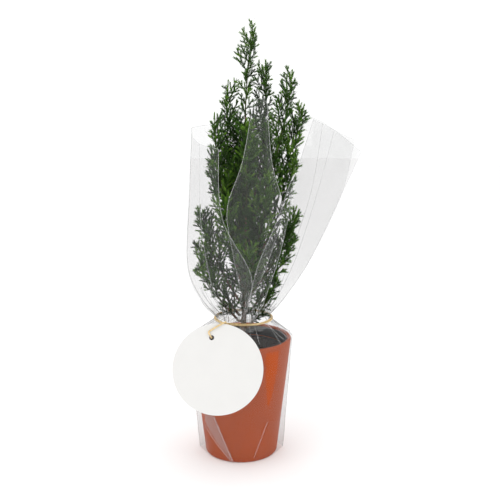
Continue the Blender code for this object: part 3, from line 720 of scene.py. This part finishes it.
    def fill_bough(self, limb, seed):
        """Short deep green shoots on the bough itself, below the plume."""
        dice = self.dice
        dice.seed(seed)
        for index in range(BOUGH_SHOOTS):
            t = BOUGH_SHARE * (0.25 + 0.7 * index / BOUGH_SHOOTS)
            along = limb.heading(t)
            across = frame_at(along, GOLDEN_TURN * index + seed)[1]
            heading = (along + across * dice.uniform(0.5, 0.9)).normalized()
            # Deep green: painted shade inside the crown.
            self.add_shoot(limb.point(t), heading, dice.uniform(*BOUGH_SHOOT_LENGTHS),
                           dice.uniform(-0.8, 0.8), 0)

    def fill_trunk(self):
        """Deep green shoots straight from the trunk, which close the middle of the crown."""
        dice = self.dice
        for index in range(TRUNK_SHOOTS):
            height = TRUNK_SHOOTS_FROM + (TRUNK_SHOOTS_TO - TRUNK_SHOOTS_FROM) * index / TRUNK_SHOOTS
            turn = GOLDEN_TURN * index
            out = around(turn, 1.0, dice.uniform(1.0, 1.7)).normalized()
            length = dice.uniform(*TRUNK_SHOOT_LENGTHS)
            # Mostly deep green: painted shade in the middle of the crown.
            self.add_shoot(trunk_point(height), out, length, dice.uniform(-0.8, 0.8), dice.random() < 0.3)

    def fitted(self, limb, t, heading, length, reach):
        """The length of a shoot, cut back where it would stand out past the plume's reach."""
        root = limb.point(t)
        for _ in range(6):
            end = root + heading * length
            rise = (end.z - limb.start.z) / (limb.tip.z - limb.start.z)
            room = reach * min(1.0, NARROW_FOOT + rise)
            if (end - trunk_point(min(end.z, TRUNK_TOP.z))).xy.length <= room:
                break
            length *= CUT_BACK
        return length


def mesh_from_arrays(name, corners, faces, tones=None):
    mesh = bpy.data.meshes.new(name)
    mesh.vertices.add(len(corners))
    mesh.vertices.foreach_set("co", corners.astype(np.float32).ravel())
    mesh.loops.add(faces.size)
    mesh.loops.foreach_set("vertex_index", faces.astype(np.int32).ravel())
    mesh.polygons.add(len(faces))
    mesh.polygons.foreach_set("loop_start", np.arange(0, faces.size, 3, dtype=np.int32))
    if tones is not None:
        mesh.polygons.foreach_set("material_index", tones.astype(np.int32))
    mesh.update(calc_edges=True)
    return mesh


def blade_arrays(base, way, wide, length, width):
    """Closed blades of six faces: a root, three corners at the widest part, and a tip."""
    deep = np.cross(way, wide)
    middle = base + way * (length * 0.42)[:, None]
    half = width / 2
    corners = np.stack([
        base,
        middle + wide * half,
        middle - wide * half,
        middle + deep * half * 0.8,
        base + way * length[:, None],
    ], axis=1)
    faces = np.array([[0, 3, 1], [0, 2, 3], [0, 1, 2], [4, 1, 3], [4, 3, 2], [4, 2, 1]])
    offsets = (np.arange(len(base)) * 5)[:, None, None]
    return corners.reshape(-1, 3), (faces[None] + offsets).reshape(-1, 3)


def twig_arrays(twigs):
    """Closed three-sided tapering twigs."""
    all_corners = []
    all_faces = []
    total = 0
    for line, first, last in twigs:
        points = np.array(line)
        count = len(points)
        way = unit(np.gradient(points, axis=0))
        across = unit(np.cross(way, np.array([0.03, 1.0, 0.05])))
        up = np.cross(way, across)
        radius = np.linspace(first, last, count)[:, None]
        turns = np.arange(3) * TURN / 3
        rings = [points + radius * (across * math.cos(a) + up * math.sin(a)) for a in turns]
        all_corners.append(np.stack(rings, axis=1).reshape(-1, 3))
        faces = [[0, 2, 1], [3 * count - 3, 3 * count - 2, 3 * count - 1]]
        for i in range(count - 1):
            for k in range(3):
                a, b = 3 * i + k, 3 * i + (k + 1) % 3
                faces += [[a, b, b + 3], [a, b + 3, a + 3]]
        all_faces.append(np.array(faces) + total)
        total += 3 * count
    return np.concatenate(all_corners), np.concatenate(all_faces)


def needle_material(name, colour):
    """A needle's plain colour, a little uneven in its tone and its gloss."""
    return mottled(name, colour, 0.16, 0.62, 0.1, 240.0, 0.0, 1.0)


class CONIFER_OT_foliage(bpy.types.Operator):
    """Grow the twigs and needles of every plume"""

    bl_idname = "conifer.foliage"
    bl_label = "Foliage"

    def execute(self, context):
        plant = context.scene.conifer_plant
        greens = [needle_material("needle_" + name, getattr(plant, name))
                  for name in ("deep", "middle", "fresh", "bright")]
        brown = mottled("twig_bark", plant.twig, 0.3, 0.7, 0.25, 500.0, 0.0, 1.0)
        grey = mottled("awn", plant.awn, 0.2, 0.55, 0.3, 300.0, 0.0, 1.0)
        limbs = all_limbs()
        groups = {str(i // 3 + 1): limbs[i:i + 3] for i in range(0, len(limbs), 3)}
        twigs = []
        awns = []
        for number, (name, members) in enumerate(groups.items()):
            growth = Growth(plant, 40 + number)
            for limb in members:
                growth.grow(limb, 100 + limbs.index(limb))
                if limb is limbs[0]:
                    growth.fill_trunk()
                else:
                    growth.fill_bough(limb, 200 + limbs.index(limb))
            base, way, wide, length, tones = (np.concatenate(part) for part in zip(*growth.needles))
            corners, faces = blade_arrays(base, way, wide, length, plant.needle_width)
            mesh = mesh_from_arrays("needles_" + name, corners, faces, np.repeat(tones, 6))
            nodes = ["foliage_" + limb.name for limb in members]
            add_piece("needles_" + name, mesh, greens, nodes)
            twigs += growth.twigs
            awns += growth.awns
        corners, faces = twig_arrays(twigs)
        add_piece("twigs", mesh_from_arrays("twigs", corners, faces), [brown])
        parts = [np.array([tuple(row[k]) for row in awns]) for k in range(3)]
        lengths = np.array([row[3] for row in awns])
        corners, faces = blade_arrays(*parts, lengths, plant.needle_width * AWN_SLIMNESS)
        add_piece("long_needles", mesh_from_arrays("long_needles", corners, faces), [grey])
        return {"FINISHED"}


def ring_point(angle, radius):
    return NECK_CENTRE + around(angle, radius)


def neck_row(first, last, count=5, inset=0.0):
    """Points on the neck ring between two directions in degrees, seen from above."""
    step = (last - first) / (count - 1)
    row = [ring_point(math.radians(first + step * i), NECK_RADIUS - inset) for i in range(count)]
    return [point + Vector((0.0, 0.0, NECK_RISE)) for point in row]


def row_of(*triples):
    """Points given in millimetres, as vectors in metres."""
    return [Vector(triple) / PER_METRE for triple in triples]


# Rows of each panel of the film above the neck in millimetres, the lowest first, as in the solids
PANELS = {
    "back": [
        neck_row(178, 2),
        row_of((-38, 1.5, 150), (-28, 34, 152), (8, 46, 152), (34, 34, 152), (43, 8, 150)),
        row_of((-50, 1.5, 182), (-36, 46, 186), (10, 64, 188), (46, 52, 190), (66.5, 18, 184)),
        row_of((-47.5, 1.5, 245), (-36, 52, 248), (12, 70, 250), (62, 60, 250), (95, 20, 245)),
        row_of((-44.5, 1.5, 308.5), (-32, 54, 311), (16, 72, 314), (70, 62, 318), (113, 20, 286)),
    ],
    "left": [
        neck_row(182, 258),
        row_of((-38, -0.5, 150), (-34, -24, 150), (-20, -38, 150), (-8, -44, 150), (4, -45, 150)),
        row_of((-50, -0.5, 182), (-45, -34, 182), (-30, -52, 182), (-11, -60, 182), (9.5, -61, 184)),
        row_of((-47.5, -0.5, 245), (-45, -28, 240), (-36, -49, 236), (-26, -58, 234), (-15, -62, 234)),
        row_of((-44.5, -0.5, 308), (-42, -24, 301), (-36, -41, 296), (-28, -50, 293), (-18, -55, 291)),
    ],
    "strip": [
        neck_row(264, 292, 3),
        row_of((6, -47.5, 152), (12, -48, 152), (18.5, -46, 152)),
        row_of((15, -65, 193), (22, -65, 193), (31, -61, 193)),
        row_of((28.5, -67, 226), (33, -66, 226), (39, -62, 226)),
        row_of((43, -62, 266), (44, -61, 266), (45.5, -59, 266)),
    ],
    "wing": [
        neck_row(4, 40, inset=LAYER_INSET),
        row_of((42, 4.5, 150), (40, 12, 151), (37, 18, 152), (34, 23, 152), (30, 28, 152)),
        row_of((66, 14.5, 184), (60, 22, 186), (53.5, 29, 188), (46, 35, 189), (38, 40, 190)),
        row_of((94.5, 16.5, 245), (83, 24, 247), (71.5, 30, 249), (60, 35, 250), (50, 39, 251)),
        row_of((106, 16.5, 297), (96, 26, 302), (87, 34, 307), (78, 42, 312), (70, 48, 316)),
    ],
    "veil": [
        neck_row(252, 296, 3, inset=LAYER_INSET),
        row_of((0, -40, 160), (6, -42, 160), (12, -41, 160)),
        row_of((-6, -53, 200), (10, -56, 200), (26, -52, 200)),
        row_of((-11, -54, 240), (12, -56, 240), (36, -52, 240)),
        row_of((2, -48, 280), (13, -50, 285), (27, -47, 280)),
        row_of((11, -44, 329), (17, -45, 333), (23, -43, 329)),
    ],
}

# Lines of each panel along which a milky strand is laid as a painted highlight of the film's folds and
# edges: shares across the panel
HIGHLIGHT_STRAND_LINES = {
    "back": (0.0, 0.62, 0.8, 1.0),
    "left": (0.0, 0.55, 1.0),
    "strip": (0.0, 1.0),
    "wing": (0.0, 0.45, 1.0),
    "veil": (0.0, 1.0),
}


def panel_point(rows, u, v):
    return smooth_value([smooth_value(row, u) for row in rows], v)


def finish_film(name, bm, node, films, offset):
    """Give an open surface the wall of a thin film, as a finished piece."""
    mesh = mesh_from(bm, name)
    for film in films:
        mesh.materials.append(film)
    thing = bpy.data.objects.new(name, mesh)
    wall = thing.modifiers.new("Wall", "SOLIDIFY")
    wall.thickness = FILM_THICKNESS
    wall.offset = offset
    bpy.context.scene.collection.objects.link(thing)
    depsgraph = bpy.context.evaluated_depsgraph_get()
    solid = bpy.data.meshes.new_from_object(thing.evaluated_get(depsgraph))
    bpy.data.objects.remove(thing, do_unlink=True)
    bpy.data.meshes.remove(mesh)
    add_piece(name, solid, (), [node])


class CONIFER_OT_wrap(bpy.types.Operator):
    """Make the clear film above the neck, with milky strands along its folds and edges as painted
    highlights
    """

    bl_idname = "conifer.wrap"
    bl_label = "Film above the neck"

    def execute(self, context):
        wrap = context.scene.conifer_wrap
        film = film_material("clear_film", wrap.haze, FILM_CLEAR, 0.12)
        gathered = film_material("gathered_film", GATHER_HAZE, DULL_CLEAR, 0.2)
        # Milky strands along the folds and edges: painted highlights of the film
        highlight_milk = film_material("film_painted_highlight", wrap.fold_highlight_haze, DULL_CLEAR, 0.2)
        lines = []
        for name, rows in PANELS.items():
            bm = bmesh.new()
            bmesh.ops.create_grid(bm, x_segments=44, y_segments=60, size=0.5)
            for vertex in bm.verts:
                u, v = vertex.co.x + 0.5, vertex.co.y + 0.5
                point = panel_point(rows, u, v)
                away = Vector((point.x - NECK_CENTRE.x, point.y, 0.0)).normalized()
                wave = math.sin(u * TURN * GATHER_WAVES) * GATHER_DEPTH
                gather = math.exp(-v * GATHER_FADE) * wave * min(v * 30, 1.0)
                dent = noise.noise(Vector((u * 5, v * 7, len(name)))) * wrap.crinkle * min(v * 4, 1.0)
                vertex.co = point + away * (gather + dent)
            for face in bm.faces:
                face.material_index = face.calc_center_median().z < GATHER_TOP
            finish_film("film_" + name + "_panel", bm, "film_" + name, [film, gathered], 0.0)
            for u in HIGHLIGHT_STRAND_LINES[name]:
                line = [panel_point(rows, u, 0.02 + 0.98 * i / 30) for i in range(31)]
                lines.append(line)
            if name != "strip":
                lines.append([panel_point(rows, i / 20, 1.0) for i in range(21)])
        # Short strands up from the neck: painted highlights of the crumpled film
        dice = random.Random(11)
        for name, count in (("back", 34), ("left", 22), ("strip", 5), ("veil", 5), ("wing", 6)):
            for _ in range(count):
                u, drift = dice.uniform(0.02, 0.98), dice.uniform(-0.05, 0.05)
                reach = dice.uniform(0.1, 0.3)
                spots = [(min(max(u + drift * i / 8, 0.0), 1.0), 0.01 + reach * i / 8) for i in range(9)]
                lines.append([panel_point(PANELS[name], *spot) for spot in spots])
        add_piece("film_highlight_strands", curve_mesh("film_highlight_strands", lines, CREASE_RADIUS), [highlight_milk])
        return {"FINISHED"}


def open_tube(sides, cuts):
    """An open cylinder of radius 1 and height 1, cut into rings."""
    bm = bmesh.new()
    bmesh.ops.create_cone(bm, cap_ends=False, segments=sides, radius1=1.0, radius2=1.0, depth=1.0)
    uprights = [edge for edge in bm.edges if abs(edge.verts[0].co.z - edge.verts[1].co.z) > 0.5]
    bmesh.ops.subdivide_edges(bm, edges=uprights, cuts=cuts)
    return bm


def fin_reach(height):
    return FIN_FOOT + (FIN_TOP - FIN_FOOT) * height / POT_HEIGHT


def sleeve_reach(direction, height):
    """Distance of the film from the pot's axis, with a flat fin at each side."""
    radius = pot_radius(height) + 0.0007
    fin = max(fin_reach(height), radius)
    bend = math.acos(min(radius / fin, 1.0))
    away = math.asin(abs(math.sin(direction)))
    return radius / math.cos(bend - away) if away < bend else radius


def sleeve_part(point):
    """Which film covers a place on the pot: 1 where it clings, 2 where it is folded double, or 0."""
    angle = math.degrees(math.atan2(point.y, point.x)) % 360
    rise = (point.z - CLING_FOOT) / (CLING_TOP - CLING_FOOT)
    if 0.0 < rise < 1.0 and abs(angle - CLING_ANGLE) < CLING_WIDTH * (1.0 - (1.0 - rise) ** 2.2):
        return 1
    low = 212 + 46 * max(0.033 - point.z, 0.0) / 0.032
    high = 233 + 25 * (0.045 - point.z) / 0.042
    if point.z < 0.045 and low < angle < high:
        return 2
    return 0


class CONIFER_OT_sleeve(bpy.types.Operator):
    """Make the film round the pot and over its rim, up to the neck"""

    bl_idname = "conifer.sleeve"
    bl_label = "Film round the pot"

    def execute(self, context):
        wrap = context.scene.conifer_wrap
        film = film_material("sleeve_film", wrap.haze, DULL_CLEAR, 0.14)
        bm = open_tube(240, 56)
        top = POT_HEIGHT - 0.0024
        for vertex in bm.verts:
            direction = math.atan2(vertex.co.y, vertex.co.x)
            height = 0.0005 + (vertex.co.z + 0.5) * (top - 0.0005)
            fold = noise.noise(Vector((math.cos(direction) * 2.2, math.sin(direction) * 2.2 + height * 22,
                                       height * 34)))
            reach = sleeve_reach(direction, height) + max(fold, 0.0) * 0.0011
            vertex.co = around(direction, reach, height)
        for face in bm.faces:
            face.material_index = sleeve_part(face.calc_center_median())
        snug = film_material("snug_film", 0.0, 0.99, 0.3, SNUG_GLOSS)
        milky = film_material("folded_film", FOLD_HAZE, 0.9, 0.2)
        finish_film("film_sleeve_round", bm, "film_sleeve", [film, snug, milky], 1.0)

        bm = open_tube(224, 30)
        rim = POT_RIM_RADIUS + 0.0011
        profile = [Vector((rim, POT_HEIGHT - 0.0021)), Vector((rim, POT_HEIGHT + 0.0003)),
                   Vector((POT_RIM_RADIUS - 0.004, POT_HEIGHT + 0.0035)),
                   Vector((0.0345, 0.1232)), Vector((NECK_RADIUS, NECK_CENTRE.z - 0.0004))]
        for vertex in bm.verts:
            direction = math.atan2(vertex.co.y, vertex.co.x)
            rise = vertex.co.z + 0.5
            spot = smooth_value(profile, rise)
            pleat = math.sin(direction * PLEATS + 2 * math.sin(direction * 3)) * 0.0007 * rise
            pleat += math.sin(direction * 9 + 1.0) * 0.0009 * rise * (1 - rise)
            reach = spot.x + pleat * (1.0 - 0.5 * rise)
            vertex.co = around(direction, reach, spot.y + pleat * 0.6)
            vertex.co.x += NECK_CENTRE.x * rise ** 2
        for face in bm.faces:
            face.material_index = face.calc_center_median().z > GATHER_FOOT
        gathered = film_material("gathered_shoulder", GATHER_HAZE, DULL_CLEAR, 0.2)
        finish_film("film_shoulder_round", bm, "film_shoulder", [film, gathered], 1.0)

        # Strands on the fins, the folds and the shoulder: painted highlights of the film
        highlight_milk = film_material("sleeve_painted_highlight", wrap.fold_highlight_haze, DULL_CLEAR, 0.2)
        lines = []
        for side in (-1, 1):
            heights = [0.001 + (top - 0.002) * i / 30 for i in range(31)]
            lines.append([Vector((side * fin_reach(z), 0.0, z))
                          for z in heights])
        folds = ((3.7, 0.033, 4.5, 0.001), (4.07, 0.045, 4.5, 0.003), (5.35, 0.04, 5.05, 0.006))
        for from_angle, from_height, to_angle, to_height in folds:
            line = []
            for i in range(13):
                share = i / 12
                angle = from_angle + (to_angle - from_angle) * share
                height = from_height + (to_height - from_height) * share
                reach = sleeve_reach(angle, height) + 0.0014
                line.append(around(angle, reach, height))
            lines.append(line)
        dice = random.Random(12)
        for _ in range(SHOULDER_HIGHLIGHT_STRANDS):
            direction, drift = dice.uniform(0.0, TURN), dice.uniform(-0.16, 0.16)
            reach = dice.uniform(0.25, 0.85)
            line = []
            for i in range(9):
                rise = 1.0 - reach * i / 8
                spot = smooth_value(profile, rise)
                angle = direction + drift * i / 8
                shift = Vector((NECK_CENTRE.x * rise ** 2, 0.0, CREASE_LIFT))
                line.append(around(angle, spot.x + 0.0003, spot.y) + shift)
            lines.append(line)
        add_piece("sleeve_highlight_strands", curve_mesh("sleeve_highlight_strands", lines, CREASE_RADIUS), [highlight_milk])
        return {"FINISHED"}


def tag_matrix():
    turn = Matrix.Rotation(TAG_TURN, 4, "Z") @ Matrix.Rotation(math.pi / 2 - TAG_LEAN, 4, "X")
    return Matrix.Translation(TAG_CENTRE) @ turn


def tag_hole():
    reach = TAG_RADIUS - TAG_HOLE_INSET
    return around(TAG_HOLE_ANGLE, reach)


class CONIFER_OT_tie(bpy.types.Operator):
    """Make the raffia ring, its knot and the strand to the tag"""

    bl_idname = "conifer.tie"
    bl_label = "Raffia tie"

    def execute(self, context):
        dice = random.Random(3)
        colour = context.scene.conifer_wrap.raffia
        raffia = mottled("raffia", colour, 0.28, 0.62, 0.3, 420.0, 0.5, 1500.0, (1.0, 1.0, 3.0))
        middle = NECK_RADIUS + TIE_CLEAR + TIE_RADIUS
        lines = []
        for strand in range(RING_STRANDS):
            phase = TURN * strand / RING_STRANDS
            twist = dice.uniform(1.5, 3.5)
            line = []
            for i in range(97):
                angle = TURN * i / 96
                turn = phase + twist * math.sin(angle + phase)
                reach = middle + 0.00075 * math.cos(turn)
                line.append(ring_point(angle, reach) + Vector((0, 0, 0.00075 * math.sin(turn))))
            lines.append(line)
        ring = curve_mesh("raffia_ring", lines, 0.0005)
        add_piece("raffia_ring", ring, [raffia], ["tie_ring"])
        centre = ring_point(KNOT_ANGLE, middle + TIE_RADIUS + KNOT_SIZE.y + 0.0003)
        turn = Matrix.Rotation(KNOT_ANGLE + math.pi / 2, 3, "Z")
        lines = []
        for loop in range(5):
            line = []
            tilt = Matrix.Rotation(loop * 0.75 - 1.4, 3, "Y")
            for i in range(33):
                angle = TURN * i / 32
                spot = tilt @ Vector((0.75 * math.sin(angle), (loop - 2) * 0.22, 0.75 * math.cos(angle)))
                spot = Vector((spot.x * KNOT_SIZE.x, spot.y * KNOT_SIZE.y, spot.z * KNOT_SIZE.z))
                line.append(centre + turn @ spot)
            lines.append(line)
        knot = curve_mesh("raffia_knot", lines, 0.00075)
        add_piece("raffia_knot", knot, [raffia], ["tie_knot"])
        reach = NECK_RADIUS + TIE_CLEAR + 2 * TIE_RADIUS + 2 * KNOT_SIZE.y + STRING_RADIUS + 0.0006
        path = [ring_point(KNOT_ANGLE, reach)]
        path += [tag_matrix() @ (tag_hole() + Vector(step)) for step in STRING_PATH]
        lines = []
        for strand in range(3):
            line = []
            for i in range(81):
                spot = smooth_value(path, i / 80)
                turn = TURN * (strand / 3 + i / 14)
                line.append(spot + Vector((math.cos(turn), 0.0, math.sin(turn))) * 0.0004)
            lines.append(line)
        strand = curve_mesh("raffia_strand", lines, 0.00042)
        add_piece("raffia_strand", strand, [raffia], ["tag_string"])
        return {"FINISHED"}


class CONIFER_OT_tag(bpy.types.Operator):
    """Make the blank round tag with its punched hole"""

    bl_idname = "conifer.tag"
    bl_label = "Tag"

    def execute(self, context):
        card = mottled("tag_card", context.scene.conifer_wrap.card, 0.012, 0.62, 0.3, 60.0, 0.1, 1800.0)
        curve = bpy.data.curves.new("tag_card", "CURVE")
        curve.dimensions = "2D"
        curve.fill_mode = "BOTH"
        curve.extrude = TAG_THICKNESS / 2 - TAG_ROUND
        curve.bevel_depth = TAG_ROUND
        curve.bevel_resolution = 2
        rounds = ((Vector(), TAG_RADIUS - TAG_ROUND, 144), (tag_hole(), TAG_HOLE_RADIUS + TAG_ROUND, 36))
        for centre, radius, count in rounds:
            spline = curve.splines.new("POLY")
            spline.points.add(count - 1)
            spline.use_cyclic_u = True
            for i, knot in enumerate(spline.points):
                knot.co = (*(centre + around(TURN * i / count, radius)), 1.0)
        thing = bpy.data.objects.new("tag_card", curve)
        mesh = bpy.data.meshes.new_from_object(thing)
        bpy.data.objects.remove(thing, do_unlink=True)
        mesh.transform(tag_matrix())
        mesh.materials.clear()
        add_piece("tag_round", mesh, [card], ["tag"])
        return {"FINISHED"}


class CONIFER_OT_stage(bpy.types.Operator):
    """Set the pale floor, the soft lights and the camera"""

    bl_idname = "conifer.stage"
    bl_label = "Stage"

    def execute(self, context):
        scene = context.scene
        bm = bmesh.new()
        bmesh.ops.create_circle(bm, cap_ends=True, segments=64, radius=6.0)
        floor = bpy.data.objects.new("floor", mesh_from(bm, "floor", smooth=False))
        scene.collection.objects.link(floor)
        material, nodes, links, shader = shader_material("floor")
        set_inputs(shader, Base_Color=FLOOR_COLOUR, Roughness=0.9, Specular_IOR_Level=0.1)
        floor.data.materials.append(material)

        world = bpy.data.worlds.new("studio")
        world.use_nodes = True
        sky = world.node_tree.nodes["Background"]
        set_inputs(sky, Color=(1.0, 1.0, 1.0, 1.0), Strength=WORLD_STRENGTH)
        scene.world = world
        for name, place, size, power in LIGHTS:
            data = bpy.data.lights.new(name, "AREA")
            data.size = size
            data.energy = power
            lamp = bpy.data.objects.new(name, data)
            lamp.location = place
            aim = LIGHT_AIM - Vector(place)
            lamp.rotation_euler = aim.to_track_quat("-Z", "Y").to_euler()
            scene.collection.objects.link(lamp)

        data = bpy.data.cameras.new("camera")
        data.sensor_width = 36.0
        data.lens = CAMERA_LENS
        camera = bpy.data.objects.new("camera", data)
        camera.location = CAMERA_PLACE
        camera.rotation_euler = (CAMERA_TILT, 0.0, 0.0)
        scene.collection.objects.link(camera)
        scene.camera = camera
        scene.view_settings.view_transform = "Standard"
        scene.cycles.transparent_max_bounces = 40
        return {"FINISHED"}


PIECES = (CONIFER_OT_pot, CONIFER_OT_soil, CONIFER_OT_wood, CONIFER_OT_foliage, CONIFER_OT_wrap,
          CONIFER_OT_sleeve, CONIFER_OT_tie, CONIFER_OT_tag, CONIFER_OT_stage)


class CONIFER_PT_panel(bpy.types.Panel):
    """Lists the pieces and their settings"""

    bl_idname = "CONIFER_PT_panel"
    bl_label = "Potted conifer"
    bl_space_type = "VIEW_3D"
    bl_region_type = "UI"
    bl_category = "Conifer"

    def draw(self, context):
        for group in (context.scene.conifer_plant, context.scene.conifer_wrap):
            box = self.layout.box()
            for name in group.__annotations__:
                box.prop(group, name)
        for piece in PIECES:
            self.layout.operator(piece.bl_idname)


CLASSES = (PlantSettings, WrapSettings) + PIECES + (CONIFER_PT_panel,)


def register():
    for item in CLASSES:
        bpy.utils.register_class(item)
    bpy.types.Scene.conifer_plant = PointerProperty(type=PlantSettings)
    bpy.types.Scene.conifer_wrap = PointerProperty(type=WrapSettings)


def unregister():
    del bpy.types.Scene.conifer_wrap
    del bpy.types.Scene.conifer_plant
    for item in reversed(CLASSES):
        bpy.utils.unregister_class(item)


def main():
    register()
    bpy.ops.conifer.pot()
    bpy.ops.conifer.soil()
    bpy.ops.conifer.wood()
    bpy.ops.conifer.foliage()
    bpy.ops.conifer.wrap()
    bpy.ops.conifer.sleeve()
    bpy.ops.conifer.tie()
    bpy.ops.conifer.tag()
    bpy.ops.conifer.stage()


if __name__ == "__main__":
    main()
